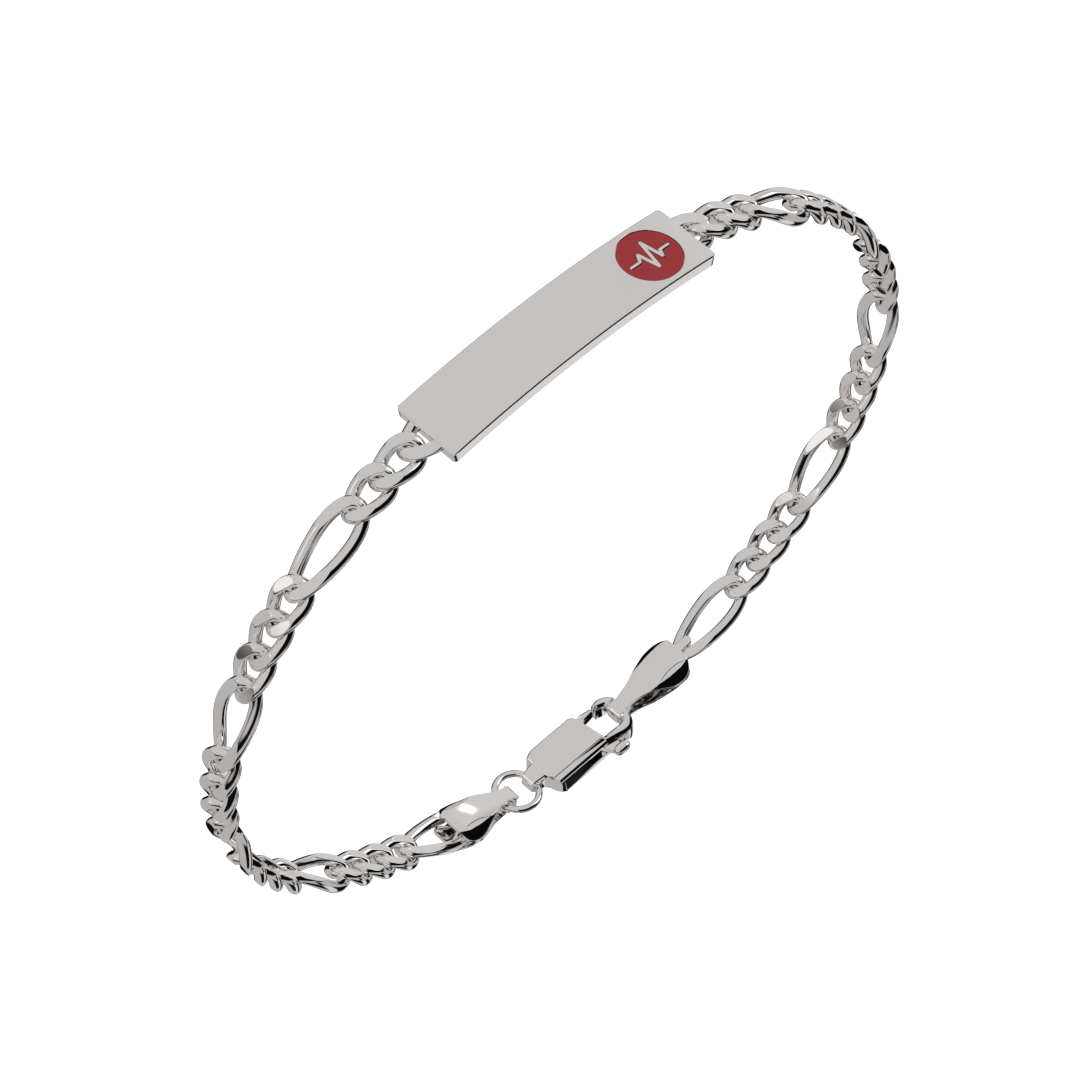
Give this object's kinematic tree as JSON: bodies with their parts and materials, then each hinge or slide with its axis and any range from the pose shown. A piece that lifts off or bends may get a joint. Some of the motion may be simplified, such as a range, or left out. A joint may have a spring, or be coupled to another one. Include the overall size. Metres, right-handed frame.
{
  "type": "medical alert bracelet",
  "caption": "Polished silver figaro-chain identity bracelet, closed as worn, with a curved plate, a red enamel medallion and a lobster clasp with a sprung lever.",
  "frame": {"origin": "centre of the plate's back, where it lies on the wrist", "axes": "+Z out of the plate's face, away from the wrist; +X along the plate towards the medallion; Y along the wrist. The clasp is opposite the plate, at the bottom of the loop"},
  "size_m": [0.0705, 0.0063, 0.059],
  "materials": {
    "silver": "polished",
    "enamel": "gloss"
  },
  "bodies": {
    "bracelet": {"plate": "silver", "medallion_enamel": "enamel", "end_cap_left": "silver", "end_cap_right": "silver", "jump_ring": "silver", "clasp_body": "silver", "lever_pin": "silver", "link_left_01": "silver", "link_left_02": "silver", "link_left_03": "silver", "link_left_04": "silver", "link_left_05": "silver", "link_left_06": "silver", "link_left_07": "silver", "link_left_08": "silver", "link_left_09": "silver", "link_left_10": "silver", "link_left_11": "silver", "link_left_12": "silver", "link_left_13": "silver", "link_left_14": "silver", "link_left_15": "silver", "link_left_16": "silver", "link_left_17": "silver", "link_left_18": "silver", "link_left_19": "silver", "link_right_01": "silver", "link_right_02": "silver", "link_right_03": "silver", "link_right_04": "silver", "link_right_05": "silver", "link_right_06": "silver", "link_right_07": "silver", "link_right_08": "silver", "link_right_09": "silver", "link_right_10": "silver", "link_right_11": "silver", "link_right_12": "silver", "link_right_13": "silver", "link_right_14": "silver", "link_right_15": "silver", "link_right_16": "silver", "link_right_17": "silver", "link_right_18": "silver", "link_right_19": "silver"},
    "lever": {"clasp_lever": "silver"}
  },
  "joints": [
    {"name": "lever_pivot", "type": "hinge", "parent": "bracelet", "child": "lever", "pos_m": [0.00286, 0.00075, -0.0566], "axis": [0.0387, 0, -0.9992], "range_deg": [0, 25], "stiffness_Nm_per_rad": 0.008, "springref_deg": -17.19}
  ]
}
